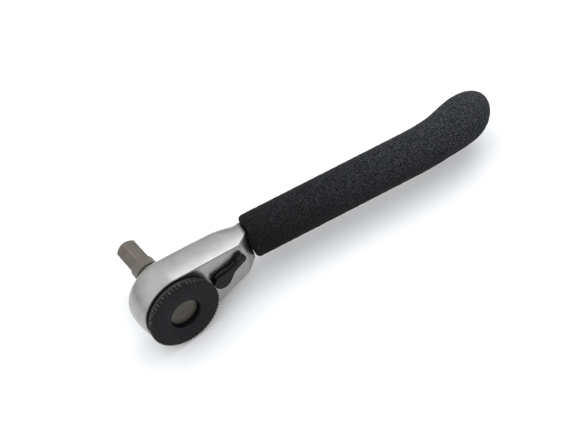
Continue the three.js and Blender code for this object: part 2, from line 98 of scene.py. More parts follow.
# Looks. Where two sizes stand together, a mask fades in or out between them.
CHROME = ((0.300, 0.299, 0.291), (0.342, 0.340, 0.331))
EDGE_LINE = {"width": 0.5, "above": (3, 5), "up_to": (22.3, 23.6)}  # along Y, Z and X
# Where the lever's thumb pad gets its painted highlight.
PAD_HIGHLIGHT = {"place": (7.6, 1.6, 0.6), "full": 0.6, "none": 1.5}  # place in the lever's own frame
FADING = {"from_to": (30, 110), "shades": (0.42, 1.75)}  # of the foam, along X

FLOOR = {"size": 3.0, "level": -0.0004}  # in metres

# The studio: its brightness at the horizon and overhead, and patches of (direction, sharpness, strength).
HORIZON, ZENITH, ZENITH_HEIGHT = 0.45, 1.45, 0.75
GLOWS = [((0.60, 0.20, 0.77), 45, 3.0), ((-0.9, 0.28, 0.25), 10, 0.35), ((0.74, 0.56, 0.36), 50, 0.5)]
STUDIO_TINT = (0.975, 0.99, 1.01)

# The camera looks down at the thumbwheel's side, held at a slant. Its place is in the tool's frame.
CAMERA = {"place": (-31.394, -172.176, 217.450), "right": (0.774004, -0.591298, -0.226462),
          "up": (0.581900, 0.523265, 0.622564), "lens": 62.39, "sensor": 36}


# ---------------------------------------------------------------- meshes

def make_object(name, points, faces, normals=None):
    """A mesh object in the part's frame from points in mm in the tool's frame."""
    mesh = bpy.data.meshes.new(name)
    points = np.asarray(points, float) * MM + np.array(ORIGIN)
    mesh.from_pydata(points.tolist(), [], [tuple(face) for face in faces])
    mesh.validate()
    mesh.polygons.foreach_set("use_smooth", np.ones(len(mesh.polygons), bool))
    if normals is not None:
        mesh.normals_split_custom_set_from_vertices(normals.tolist())
    made = bpy.data.objects.new(name, mesh)
    bpy.context.scene.collection.objects.link(made)
    return made


def gradient(field, points, step=0.01):
    """Direction in which a field grows fastest at each point."""
    slopes = []
    for axis in range(3):
        shift = np.zeros(3)
        shift[axis] = step
        slopes.append((field(points + shift) - field(points - shift)) / (2 * step))
    return np.stack(slopes, 1)


EDGES = [(a, b) for a in range(8) for b in range(a + 1, 8) if bin(a ^ b).count("1") == 1]


def solid_of(name, field, low, high, cell):
    """Meshes the surface where field is zero: one vertex a grid cell, settled onto the surface."""
    axes = [np.arange(lo, hi + cell, cell) for lo, hi in zip(low, high)]
    grid = np.stack(np.meshgrid(*axes, indexing="ij"), -1)
    shape = grid.shape[:3]
    value = field(grid.reshape(-1, 3)).reshape(shape)
    inside = value < 0
    corners = [(i >> 2 & 1, i >> 1 & 1, i & 1) for i in range(8)]

    def corner_view(array, corner):
        return array[tuple(slice(c, n - 1 + c) for c, n in zip(corner, shape))]

    count = sum(corner_view(inside, c).astype(np.int8) for c in corners)
    active = (count > 0) & (count < 8)
    cells = np.argwhere(active)
    values = np.stack([corner_view(value, c)[active] for c in corners], 1)
    total = np.zeros((len(cells), 3))
    crossings = np.zeros(len(cells))
    for a, b in EDGES:
        va, vb = values[:, a], values[:, b]
        cross = (va < 0) != (vb < 0)
        share = va[cross] / (va[cross] - vb[cross])
        start, end = np.array(corners[a], float), np.array(corners[b], float)
        total[cross] += start + share[:, None] * (end - start)
        crossings[cross] += 1
    points = np.array([a[0] for a in axes]) + (cells + total / crossings[:, None]) * cell
    for _ in range(3):
        slope = gradient(field, points)
        move = field(points)[:, None] * slope / np.maximum((slope ** 2).sum(1), 0.05)[:, None]
        points -= np.clip(move, -cell, cell)
    index = -np.ones(active.shape, int)
    index[active] = np.arange(len(cells))
    faces = []
    for axis in range(3):
        ahead = np.moveaxis(inside, axis, 0)
        change = ahead[1:] != ahead[:-1]
        leaving = ahead[:-1] & change
        around = np.moveaxis(index, axis, 0)
        inner = change[:, 1:-1, 1:-1]
        quads = np.stack([around[:, :-1, :-1][inner], around[:, 1:, :-1][inner],
                          around[:, 1:, 1:][inner], around[:, :-1, 1:][inner]], 1)
        flip = ~leaving[:, 1:-1, 1:-1][inner]
        if axis == 1:
            flip = ~flip
        quads[flip] = quads[flip][:, ::-1]
        faces.append(quads)
    slope = gradient(field, points)
    normals = slope / np.linalg.norm(slope, axis=1)[:, None]
    return make_object(name, points, np.concatenate(faces).tolist(), normals)


def lathe(name, profile, segments, shape=None, centre=(0, 0)):
    """A closed profile of (radius, y) turned about Y. shape may change the radii: shape(radii, angles)."""
    profile = np.asarray(profile, float)
    angles = np.linspace(0, 2 * math.pi, segments, endpoint=False)
    radius, angle = np.meshgrid(profile[:, 0], angles, indexing="ij")
    level = np.repeat(profile[:, 1][:, None], segments, 1)
    if shape:
        radius = shape(radius, angle)
    x = centre[0] + radius * np.cos(angle)
    z = centre[1] + radius * np.sin(angle)
    points = np.stack([x, level, z], -1).reshape(-1, 3)
    rings = len(profile)
    faces = []
    for k in range(rings):
        here, there = k * segments, (k + 1) % rings * segments
        for i in range(segments):
            j = (i + 1) % segments
            faces.append((here + i, there + i, there + j, here + j))
    return make_object(name, points, faces)


def rounded(corners, radius, steps=4):
    """A closed outline of (u, v) corners with each corner rounded by an arc."""
    corners = [Vector(c[:2]) for c in corners]
    outline = []
    for i, corner in enumerate(corners):
        before = corners[i - 1] - corner
        after = corners[(i + 1) % len(corners)] - corner
        reach = min(radius, before.length * 0.45, after.length * 0.45)
        start = corner + before.normalized() * reach
        end = corner + after.normalized() * reach
        for k in range(steps + 1):
            t = k / steps
            outline.append(tuple((1 - t) ** 2 * start + 2 * t * (1 - t) * corner + t * t * end))
    return outline


def weighted(piece):
    """Keeps flat faces flat in the shading."""
    modifier = piece.modifiers.new("weighted", "WEIGHTED_NORMAL")
    modifier.keep_sharp = True
    return piece


# ---------------------------------------------------------------- fields, in mm, below zero inside

def meet(radius, *fields):
    """Where all the fields are inside, with edges rounded by a radius."""
    whole = fields[0]
    for other in fields[1:]:
        a, b = whole + radius, other + radius
        whole = np.hypot(np.maximum(a, 0), np.maximum(b, 0)) + np.minimum(np.maximum(a, b), 0) - radius
    return whole


def unite(radius, *fields):
    """Where any field is inside, with inner corners filled by a radius."""
    return -meet(radius, *(-field for field in fields))


def carve(radius, whole, *hollows):
    """The whole without the hollows, with edges rounded by a radius."""
    return meet(radius, whole, *(-hollow for hollow in hollows))


def slab(y, front, back):
    """Between two levels along Y."""
    return np.maximum(front - y, y - back)


def drum(p, radius, front, back, x=0, z=0, edge=0.0):
    """A round disc between two levels, about an axis along Y through x and z."""
    across = np.hypot(p[:, 0] - x, p[:, 2] - z) - radius
    return meet(edge, across, front - p[:, 1], p[:, 1] - back)


def closing(x, z, radius, slope):
    """Distance to a round end about the origin whose straight sides close in along +X."""
    s, c = math.sin(slope), math.cos(slope)
    z = np.abs(z)
    return np.where(x * c - z * s > 0, x * s + z * c, np.hypot(x, z)) - radius


def pear(x, z, radius, end, taper):
    """The same with a second round end whose farthest point is at x = end."""
    slope = math.radians(taper)
    tip_x = (end - radius) / (1 - math.sin(slope))
    along = x * math.cos(slope) - np.abs(z) * math.sin(slope)
    tip = np.hypot(x - tip_x, z) - (end - tip_x)
    return np.where(along > tip_x * math.cos(slope), tip, closing(x, z, radius, slope))


def hexagon(p, flats, phase, edge=0.0):
    """A hexagon bar along Y. phase is the angle of its first corner."""
    sides = []
    for k in range(3):
        angle = math.radians(phase + 30 + 60 * k)
        sides.append(np.abs(p[:, 0] * math.cos(angle) + p[:, 2] * math.sin(angle)) - flats / 2)
    return meet(edge, *sides)


def soft_line(knots, width):
    """A line through (u, v) knots with its corners smoothed over a width, and its slope."""
    u, v = np.array(sorted(knots)).T
    step = 0.02
    dense = np.arange(u[0] - 5, u[-1] + 5, step)
    kernel = np.hanning(max(3, int(width / step) | 1))
    value = np.interp(dense, u, v)
    pad = len(kernel) // 2
    smooth = np.convolve(np.pad(value, pad, mode="edge"), kernel / kernel.sum(), "valid")
    slope = np.gradient(smooth, step)
    return lambda at: (np.interp(at, dense, smooth), np.interp(at, dense, slope))


LEAN = math.radians(HANDLE["lean"])
# Radius of the head's rounded back along X, about an axis at ROUNDING_LEVEL.
BACK_LINE = soft_line([(-20, 30), (9, 12.8), (15, 10.8), (19.5, 9.9), (23, 8.3), (26, 7.0), (32, 6.7)], 3.0)
ROUNDING_LEVEL = 6.5


def turned_within(along, radius, line):
    """Inside a line of radii turned about an axis."""
    limit, slope = line(along)
    return (radius - limit) / np.sqrt(1 + slope ** 2)


def head_blank(p):
    """The outside of the head and neck: a tapered block with crowned walls and a rounded back, which a
    cone narrows to the sleeve."""
    x, y, z = p.T
    middle = (HEAD["front"] + HEAD["back"]) / 2
    crown = HEAD["crown"] * ((y - middle) / (middle - HEAD["front"])) ** 2
    wall = closing(x, z, HEAD["radius"], math.radians(HEAD["taper"])) + crown
    block = meet(0.18, wall, HEAD["front"] - y)
    block = meet(HEAD["fillet"], block, y - HEAD["back"])
    along = (x - HANDLE["x"]) * math.cos(LEAN) - (y - HANDLE["y"]) * math.sin(LEAN)
    across = (x - HANDLE["x"]) * math.sin(LEAN) + (y - HANDLE["y"]) * math.cos(LEAN)
    limit = NECK["radius"] + NECK["slope"] * (NECK["end"] - along)
    neck = (np.hypot(across, z / NECK["widening"]) - limit) / math.hypot(1, NECK["slope"])
    back = turned_within(x, np.hypot(y - ROUNDING_LEVEL, z), BACK_LINE)
    return meet(0.03, meet(0.35, meet(1.2, block, back), neck), along - NECK["end"])


def screw_places():
    """The (x, z) of the screws: one near the neck and one to each side of the drive."""
    places = [(SCREW["neck_x"], 0.0)]
    for side in (1, -1):
        angle = math.radians(side * SCREW["ring_angle"])
        places.append((SCREW["ring_radius"] * math.cos(angle), SCREW["ring_radius"] * math.sin(angle)))
    return places


def pawl_pocket(p):
    """Room behind the front wall for the pawl and the lever's shaft."""
    x, y, z = p.T
    wide = np.maximum(np.abs(z) - POCKET["side"], np.maximum(POCKET["start"] - x, x - POCKET["corner"] - 1))
    round_end = np.hypot(x - LEVER["pivot_x"], z) - POCKET["round"]
    return meet(0.2, np.minimum(wide, round_end), WALL_END - y)


def body_field(p):
    """The blank with its bores, its pocket, the cover's seat and the screws' holes."""
    x, y, z = p.T
    cover_room = pear(x, z, COVER["radius"] + 0.3, COVER["end"] + 0.3, COVER["taper"])
    hollows = [
        drum(p, AXLE["front"] + RUN, 0, WALL_END + 1),
        drum(p, GEAR["tip"] + 0.35, WALL_END, CAVITY_END + 1),
        pawl_pocket(p),
        drum(p, LEVER_SHAFT["radius"] + RUN, 0, WALL_END + 1, LEVER["pivot_x"]),
        drum(p, LEVER_SEAL["room"], 0, LEVER_SEAL["room_end"], LEVER["pivot_x"]),
        drum(p, PAWL["pin"] + 0.2, PAWL["pin_start"] - 0.3, WALL_END + 1, PAWL["pivot_x"]),
        np.maximum(cover_room, CAVITY_END - y),
    ]
    for sx, sz in screw_places():
        start = COVER["back"] - SCREW["length"] - 0.3
        hollows.append(drum(p, SCREW["shank"] + RUN, start, CAVITY_END + 1, sx, sz))
    return carve(0.12, head_blank(p), *hollows)


def handle_points(lengths):
    """Points and angles of the handle's centre line at lengths from HANDLE's start."""
    straight = (HANDLE["bend_x"] - HANDLE["x"]) / math.cos(LEAN)
    bend = HANDLE["bend_radius"] * (LEAN + math.radians(HANDLE["end_angle"]))
    run = np.minimum(lengths, straight)
    arc = np.clip(lengths - straight, 0, bend)
    rest = np.maximum(lengths - straight - bend, 0)
    angle = -LEAN + arc / HANDLE["bend_radius"]
    radius = HANDLE["bend_radius"]
    x = HANDLE["x"] + run * math.cos(LEAN) + radius * (np.sin(angle) + math.sin(LEAN))
    y = HANDLE["y"] - run * math.sin(LEAN) + radius * (math.cos(LEAN) - np.cos(angle))
    return x + rest * np.cos(angle), y + rest * np.sin(angle), angle


HANDLE_LENGTH = ((HANDLE["bend_x"] - HANDLE["x"]) / math.cos(LEAN)
                 + HANDLE["bend_radius"] * (LEAN + math.radians(HANDLE["end_angle"])) + HANDLE["end_length"])


def bar(name, stations, sides, shape=None):
    """A round bar along the handle's centre line through (length, radius, shift off the line)
    stations. shape may change the radii: shape(lengths, radii, turns)."""
    stations = np.array([(*station, 0.0)[:3] for station in stations])
    turns = np.linspace(0, 2 * math.pi, sides, endpoint=False)
    length, turn = np.meshgrid(stations[:, 0], turns, indexing="ij")
    radius = np.repeat(stations[:, 1][:, None], sides, 1)
    if shape:
        radius = shape(length, radius, turn)
    x, y, angle = handle_points(length)
    across = stations[:, 2][:, None] + radius * np.cos(turn)
    points = np.stack([x - across * np.sin(angle), y + across * np.cos(angle), radius * np.sin(turn)], -1)
    points = points.reshape(-1, 3).tolist()
    rings = len(stations)
    faces = []
    for k in range(rings - 1):
        here, there = k * sides, (k + 1) * sides
        for i in range(sides):
            j = (i + 1) % sides
            faces.append((here + i, here + j, there + j, there + i))
    for start, ring in ((True, 0), (False, rings - 1)):
        hub = len(points)
        points.append(np.mean(points[ring * sides:(ring + 1) * sides], 0).tolist())
        for i in range(sides):
            j = (i + 1) % sides
            a, b = ring * sides + i, ring * sides + j
            faces.append((hub, b, a) if start else (hub, a, b))
    return make_object(name, points, faces)


# ---------------------------------------------------------------- materials

def new_material(name):
    """A material with its node tree, its shader and the place on the object."""
    made = bpy.data.materials.new(name)
    made.use_nodes = True
    tree = made.node_tree
    shader = tree.nodes["Principled BSDF"]
    where = tree.nodes.new("ShaderNodeTexCoord").outputs["Object"]
    return made, tree, shader, where


def noise(tree, where, grain_mm, detail, roughness=0.55):
    """Noise whose features are about grain_mm across."""
    node = tree.nodes.new("ShaderNodeTexNoise")
    node.inputs["Scale"].default_value = 1 / (grain_mm * MM)
    node.inputs["Detail"].default_value = detail
    node.inputs["Roughness"].default_value = roughness
    tree.links.new(where, node.inputs["Vector"])
    return node.outputs["Fac"]


def grey(value):
    return (value, value, value)


def ramp(tree, value, stops):
    """Colours at places from 0 to 1: stops are (place, (r, g, b))."""
    node = tree.nodes.new("ShaderNodeValToRGB")
    elements = node.color_ramp.elements
    while len(elements) < len(stops):
        elements.new(0.5)
    for element, (place, colour) in zip(elements, stops):
        element.position = place
        element.color = (*colour, 1)
    tree.links.new(value, node.inputs["Fac"])
    return node.outputs["Color"]


def tones(tree, value, dark, light):
    """Two tones that change over softly with a noise."""
    return ramp(tree, value, [(0.3, dark), (0.7, light)])


def specks(tree, where, grain_mm, start, end):
    """A mask of small sparse spots: noise cut off between two levels."""
    return ramp(tree, noise(tree, where, grain_mm, 0), [(start, grey(0)), (end, grey(1))])


def spread(tree, value, low, high, start=0.3, end=0.7):
    """Goes from low to high as the value goes from start to end."""
    node = tree.nodes.new("ShaderNodeMapRange")
    node.inputs["From Min"].default_value = start
    node.inputs["From Max"].default_value = end
    node.inputs["To Min"].default_value = low
    node.inputs["To Max"].default_value = high
    tree.links.new(value, node.inputs["Value"])
    return node.outputs["Result"]


def fading(tree, where, axis, start, end, low=0, high=1):
    """Goes from low to high between two places along an axis, in mm in the tool's frame."""
    node = tree.nodes.new("ShaderNodeSeparateXYZ")
    tree.links.new(where, node.inputs["Vector"])
    zero = ORIGIN["XYZ".index(axis)]
    return spread(tree, node.outputs[axis], low, high, zero + start * MM, zero + end * MM)


def joined(tree, operation, first, *others):
    """Values or numbers joined one after another by a math operation."""
    total = first
    for other in others:
        node = tree.nodes.new("ShaderNodeMath")
        node.operation = operation
        for value, socket in zip((total, other), node.inputs):
            if isinstance(value, (int, float)):
                socket.default_value = value
            else:
                tree.links.new(value, socket)
        total = node.outputs[0]
    return total


def times(tree, *values):
    return joined(tree, "MULTIPLY", *values)


def vector_math(tree, operation, vector, other, result="Value"):
    """A vector math operation on a vector and a fixed one."""
    node = tree.nodes.new("ShaderNodeVectorMath")
    node.operation = operation
    node.inputs[1].default_value = other
    tree.links.new(vector, node.inputs[0])
    return node.outputs[result]


def facing(tree, direction):
    """How far the surface faces along a direction: 1 along it, -1 against it."""
    normal = tree.nodes.new("ShaderNodeTexCoord").outputs["Normal"]
    return vector_math(tree, "DOT_PRODUCT", normal, Vector(direction).normalized())


def blend(tree, share, colour, other):
    """A colour that goes over to another, given as numbers, by a share from 0 to 1."""
    node = tree.nodes.new("ShaderNodeMix")
    node.data_type = "RGBA"
    tree.links.new(share, node.inputs["Factor"])
    tree.links.new(colour, node.inputs["A"])
    node.inputs["B"].default_value = (*other, 1)
    return node.outputs["Result"]


def scaled(tree, colour, value):
    """A colour multiplied by a value."""
    node = tree.nodes.new("ShaderNodeMix")
    node.data_type = "RGBA"
    node.blend_type = "MULTIPLY"
    node.inputs["Factor"].default_value = 1
    tree.links.new(colour, node.inputs["A"])
    tree.links.new(value, node.inputs["B"])
    return node.outputs["Result"]


def bump(tree, shader, heights):
    """Stacks bumps: heights are (value, depth in mm)."""
    normal = None
    for value, depth in heights:
        node = tree.nodes.new("ShaderNodeBump")
        node.inputs["Strength"].default_value = 1
        node.inputs["Distance"].default_value = depth * MM
        tree.links.new(value, node.inputs["Height"])
        if normal:
            tree.links.new(normal, node.inputs["Normal"])
        normal = node.outputs["Normal"]
    tree.links.new(normal, shader.inputs["Normal"])


def coat(tree, shader, colour, roughness, metallic=0.0, specular=0.5):
    """Gives the shader its colour, its roughness, which may be a value or a number, and its constants."""
    tree.links.new(colour, shader.inputs["Base Color"])
    if isinstance(roughness, float):
        shader.inputs["Roughness"].default_value = roughness
    else:
        tree.links.new(roughness, shader.inputs["Roughness"])
    shader.inputs["Metallic"].default_value = metallic
    shader.inputs["Specular IOR Level"].default_value = specular


def metal(name, dark, light, roughness, grain, depth, metallic=1.0):
    """Blasted or plated metal: cloudy colour, fine grain in the roughness and the surface."""
    made, tree, shader, where = new_material(name)
    cloud = noise(tree, where, 3.0, 4)
    fine = noise(tree, where, grain, 2)
    coat(tree, shader, tones(tree, cloud, dark, light), spread(tree, fine, *roughness), metallic)
    bump(tree, shader, [(cloud, depth * 2), (fine, depth)])
    return made


def satin_chrome():
    """Plated satin metal. A thin brownish line runs along the upper edge of the head's front face,
    and the neck is darkened with painted shade where it goes into the sleeve."""
    made, tree, shader, where = new_material("satin_chrome")
    cloud = noise(tree, where, 3.0, 4)
    fine = noise(tree, where, 0.22, 2)
    colour = tones(tree, cloud, *CHROME)
    behind_edge = fading(tree, where, "Y", HEAD["front"], HEAD["front"] + EDGE_LINE["width"])
    line = ramp(tree, behind_edge, [(0.0, grey(0)), (0.10, grey(1)), (0.40, grey(1)), (0.62, grey(0))])
    upper = fading(tree, where, "Z", *EDGE_LINE["above"])
    near = fading(tree, where, "X", *EDGE_LINE["up_to"], 1, 0)
    colour = blend(tree, times(tree, line, upper, near, 0.75), colour, (0.10, 0.075, 0.065))
    way = Vector((math.cos(LEAN), -math.sin(LEAN), 0))
    along_neck = vector_math(tree, "DOT_PRODUCT", where, way)
    neck_end = (ORIGIN + Vector((HANDLE["x"], HANDLE["y"], 0)) * MM).dot(way) + NECK["end"] * MM
    # Painted shade: the neck's colour darkens towards the sleeve's mouth.
    sleeve_shade = spread(tree, along_neck, 0, 0.93, neck_end - 1.0 * MM, neck_end - 0.1 * MM)
    colour = blend(tree, sleeve_shade, colour, (0.012, 0.014, 0.020))
    coat(tree, shader, colour, spread(tree, fine, 0.25, 0.32), metallic=1.0)
    bump(tree, shader, [(cloud, 0.003), (fine, 0.002)])
    return made


def black_steel(name, dark, light, roughness, specular, painted_highlights):
    """Black finished steel with tiny worn specks. The last argument adds painted highlights; it is called as
    (tree, where, colour).
    """
    made, tree, shader, where = new_material(name)
    cloud = noise(tree, where, 2.4, 3)
    fine = noise(tree, where, 0.22, 3)
    colour = tones(tree, cloud, dark, light)
    colour = blend(tree, specks(tree, where, 0.33, 0.77, 0.81), colour, (0.08, 0.078, 0.072))
    # Painted highlights on the knurls or on the lever.
    colour = painted_highlights(tree, where, colour)
    coat(tree, shader, colour, spread(tree, fine, *roughness), specular=specular)
    bump(tree, shader, [(fine, 0.012)])
    return made


def knurl_glints(tree, where, colour):
    """Painted glints: the knurls' crests are lightened in patches."""
    flat = vector_math(tree, "MULTIPLY", where, (1, 0, 1), "Vector")
    radius = vector_math(tree, "DISTANCE", flat, (ORIGIN.x, 0, ORIGIN.z))
    crest = spread(tree, radius, 0, 1, (WHEEL["radius"] - 0.16) * MM, (WHEEL["radius"] - 0.04) * MM)
    patches = ramp(tree, noise(tree, where, 0.9, 2), [(0.46, grey(0.05)), (0.66, grey(1))])
    # Painted glints on the knurls' crests, in patches.
    return blend(tree, times(tree, crest, patches), colour, (0.12, 0.112, 0.095))


def lever_highlights(tree, where, colour):
    """Painted highlights: a light line along the lip beside the lever's ledge, and a lighter patch on the
    thumb pad.
    """
    crest = spread(tree, facing(tree, (0, -0.75, 0.66)), 0, 1, 0.92, 0.98)
    behind_top = fading(tree, where, "Y", LEDGE - 0.45, LEDGE - 0.2)
    # Painted highlight along the lip.
    colour = blend(tree, times(tree, crest, behind_top, 0.9), colour, (0.075, 0.077, 0.081))
    turn = math.radians(LEVER["angle"])
    x, y, z = PAD_HIGHLIGHT["place"]
    pad = Vector((LEVER["pivot_x"] + x * math.cos(turn) - z * math.sin(turn), y,
                  x * math.sin(turn) + z * math.cos(turn)))
    # Painted highlight on the thumb pad.
    away = vector_math(tree, "DISTANCE", where, ORIGIN + pad * MM)
    near = spread(tree, away, 1, 0, PAD_HIGHLIGHT["full"] * MM, PAD_HIGHLIGHT["none"] * MM)
    return blend(tree, times(tree, near, 0.75), colour, (0.020, 0.021, 0.023))


def bit_steel():
    """Bead-blasted steel, with painted highlights along the key's corners."""
    made, tree, shader, where = new_material("bit_steel")
    cloud = noise(tree, where, 3.0, 4)
    fine = noise(tree, where, 0.18, 2)
    colour = tones(tree, cloud, (0.115, 0.100, 0.083), (0.150, 0.132, 0.112))
    key = fading(tree, where, "Y", BIT_FLARE["end"], BIT_FLARE["end"] + 0.4)
    # Painted highlights: the key's corners are lightened.
    for k in range(6):
        angle = math.radians(SOCKET["phase"] + 60 * k)
        corner = spread(tree, facing(tree, (math.cos(angle), 0, math.sin(angle))), 0, 1, 0.955, 0.99)
        colour = blend(tree, times(tree, corner, key, 0.9), colour, (0.30, 0.272, 0.245))
    coat(tree, shader, colour, spread(tree, fine, 0.48, 0.6), metallic=0.6)
    bump(tree, shader, [(cloud, 0.02), (fine, 0.01)])
    return made


def black_rubber():
    made, tree, shader, where = new_material("black_rubber")
    fine = noise(tree, where, 0.3, 3)
    coat(tree, shader, tones(tree, fine, grey(0.008), grey(0.013)), spread(tree, fine, 0.6, 0.8))
    bump(tree, shader, [(fine, 0.02)])
    return made


def foam():
    """Moulded foam: dark pores between paler cell walls and a few light specks. It is paler towards
    its far end, and paler where it faces up, which is painted light."""
    made, tree, shader, where = new_material("black_foam")
    pores = noise(tree, where, 0.27, 2, 0.7)
    grain = noise(tree, where, 0.9, 2)
    cloud = noise(tree, where, 7, 3)
    colour = ramp(tree, pores, [(0.38, (0.0006, 0.0009, 0.0015)), (0.50, (0.0080, 0.0091, 0.0110)),
                                (0.62, (0.0450, 0.0455, 0.0465))])
    patches = spread(tree, cloud, 0.85, 1.0, 0.35, 0.65)
    far = fading(tree, where, "X", *FADING["from_to"], *FADING["shades"])
    # Painted light: the foam is paler where it faces up.
    top_light = spread(tree, facing(tree, (0, 0, 1)), 0.80, 1.35, 0.0, 0.95)
    colour = scaled(tree, colour, times(tree, patches, far, top_light))
    colour = blend(tree, specks(tree, where, 0.55, 0.83, 0.87), colour, (0.10, 0.10, 0.09))
    coat(tree, shader, colour, 0.9, specular=0.12)
    bump(tree, shader, [(grain, 0.05), (pores, 0.05)])
    return made


def floor_white():
    made, tree, shader, where = new_material("floor_white")
    cloud = noise(tree, where, 40, 2)
    coat(tree, shader, tones(tree, cloud, grey(0.90), grey(0.92)), 0.9, specular=0.1)
    return made


MATERIALS = {
    "satin_chrome": satin_chrome(),
    "wheel_steel": black_steel("wheel_steel", (0.0030, 0.0034, 0.0042), (0.0052, 0.0057, 0.0066),
                               (0.36, 0.52), 0.11, knurl_glints),
    "lever_steel": black_steel("lever_steel", (0.0022, 0.0026, 0.0034), (0.0034, 0.0039, 0.0048),
                               (0.22, 0.30), 0.135, lever_highlights),
    "gear_steel": metal("gear_steel", (0.062, 0.056, 0.045), (0.088, 0.080, 0.066),
                        (0.45, 0.6), 0.2, 0.02, 0.6),
    "bit_steel": bit_steel(),
    "spring_steel": metal("spring_steel", grey(0.40), grey(0.48), (0.28, 0.36), 0.3, 0.004),
    "magnet": metal("magnet", grey(0.35), grey(0.42), (0.25, 0.35), 0.3, 0.004),
    "black_rubber": black_rubber(),
    "black_foam": foam(),
}


def finish_piece(piece, body, finish, *nodes):
    """Gives a new piece its finish and its body, and lets it stand for its CAD nodes."""
    piece.data.materials.clear()
    piece.data.materials.append(MATERIALS[finish])
    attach(piece, body)
    if nodes:
        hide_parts(*nodes)
    return piece


# ---------------------------------------------------------------- pieces

def head():
    """The head and neck in one, hollowed out for the drive, the pawl, the lever and the cover."""
    low = (-12.2, 2.6, -12.2)
    high = (30.5, 14.6, 12.2)
    piece = solid_of("head_shell", body_field, low, high, 0.24)
    return finish_piece(piece, "handle", "satin_chrome", "ratchet_body")


def shank():
    """The round bar inside the sleeve, from the neck to its round end."""
    end = HANDLE_LENGTH - 2
    stations = [(-2.0, SHANK_RADIUS * 0.9)] + [(s, SHANK_RADIUS) for s in np.linspace(-1.8, end, 60)]
    stations += [(end + SHANK_RADIUS * math.sin(a), SHANK_RADIUS * math.cos(a))
                 for a in np.linspace(0.2, 1.45, 7)]
    return finish_piece(bar("handle_shank", stations, 48), "handle", "satin_chrome")


def grip_radius(lengths):
    """The sleeve swells a little towards its end."""
    t = np.clip((lengths - GRIP["swell_from"]) / (HANDLE_LENGTH - GRIP["swell_from"]), 0, 1)
    return GRIP["radius"] + (GRIP["tip_radius"] - GRIP["radius"]) * t * t * (3 - 2 * t)


def foam_grip():
    """The sleeve: its bore from the closed end to the mouth, then its outside to the rounded end."""
    start, bore, edge = GRIP["start"], GRIP["bore"], GRIP["edge"]
    stations = [(HANDLE_LENGTH - 2 + bore * math.sin(a), bore * math.cos(a))
                for a in np.linspace(1.5, 0.05, 8)]
    stations += [(s, bore) for s in np.linspace(HANDLE_LENGTH - 3, start + 0.4, 40)]
    stations += [(start + 0.1, bore + 0.1), (start, bore + 0.35)]
    for a in np.linspace(0, math.pi / 2, 10):
        stations.append((start + edge * (1 - math.cos(a)), GRIP["radius"] - edge * (1 - math.sin(a))))
    for s in np.linspace(start + edge + 0.3, HANDLE_LENGTH, 230):
        stations.append((s, float(grip_radius(s))))
    end_radius = float(grip_radius(HANDLE_LENGTH))
    for a in np.linspace(0.04, math.pi / 2 - 0.02, 44):
        reach = math.sin(a)
        shift = GRIP["lift"] * reach ** 2
        stations.append((HANDLE_LENGTH + GRIP["dome"] * reach, end_radius * math.cos(a), shift))

    def uneven(length, radius, turn):
        """Slow lumps of a few hundredths of a millimetre on the outside."""
        waves = ((0.9, 2), (1.7, -3), (2.6, 5), (3.4, -4))
        lumps = sum(np.sin(length * f + k * turn + 1.7 * f) for f, k in waves)
        outside = np.clip((radius - bore - 1) / 1.5, 0, 1)
        return radius + 0.012 * lumps * outside

    piece = bar("foam_sleeve", stations, 144, uneven)
    finish_piece(piece, "handle", "black_foam", "foam_grip")
    return piece


def wheel():
    """A ring with a stepped back and a knurled rim."""
    depth, count = WHEEL["knurl_depth"], WHEEL["knurls"]
    corners = [
        (WHEEL["bore"], 0), (WHEEL["radius"], 0), (WHEEL["radius"], WHEEL["rim"]),
        (WHEEL["hub"], WHEEL["rim"]), (WHEEL["hub"], WHEEL["hub_end"]), (WHEEL["bore"], WHEEL["hub_end"]),
    ]
    profile = rounded(corners, 0.22)

    def knurl(radius, angle):
        wave = 0.5 - 0.5 * np.cos(angle * count)
        near = np.clip((radius - (WHEEL["radius"] - 0.5)) / 0.3, 0, 1)
        return radius - depth * near * wave ** 0.8

    piece = lathe("thumbwheel_disc", profile, count * 12, knurl)
    return finish_piece(weighted(piece), "drive", "wheel_steel", "thumbwheel")


def wheel_seal():
    # A black rubber ring under the wheel's rim; its black also stands in for painted shade in the gap there.
    corners = [(SEAL["inner"], SEAL["front"]), (SEAL["outer"], SEAL["front"]),
               (SEAL["outer"], SEAL["back"]), (SEAL["inner"], SEAL["back"])]
    piece = lathe("wheel_seal", rounded(corners, 0.3), 160)
    return finish_piece(weighted(piece), "handle", "black_rubber", "thumbwheel_seal")


def gear():
    """The toothed drive gear with its front stub, its rear axle and the bit's socket."""
    def field(p):
        x, y, z = p.T
        radius = np.hypot(x, z)
        angle = np.arctan2(z, x)
        pitch = 2 * math.pi / GEAR["teeth"]
        share = np.abs((angle / pitch + 0.5) % 1 - 0.5)
        tooth = np.clip((0.3 - share) / 0.17, 0, 1)
        teeth = (radius - (GEAR["root"] + (GEAR["tip"] - GEAR["root"]) * tooth)) * 0.75
        axle = unite(0.15, drum(p, AXLE["stub"], AXLE["stub_front"], HEAD["front"] + 0.2, edge=0.25),
                     drum(p, AXLE["front"], HEAD["front"] + 0.1, GEAR["start"] + 0.2, edge=0.15),
                     drum(p, AXLE["rear"], GEAR["start"], AXLE["rear_end"], edge=0.3),
                     meet(0.15, teeth, slab(y, GEAR["start"], GEAR["end"])))
        socket = meet(0.1, hexagon(p, SOCKET["flats"], SOCKET["phase"], 0.2), SOCKET["floor"] - y)
        return carve(0.25, axle, socket)

    piece = solid_of("gear_and_axle", field, (-6.9, 1.1, -6.9), (6.9, 15.3, 6.9), 0.17)
    return finish_piece(piece, "drive", "gear_steel", "drive_gear")


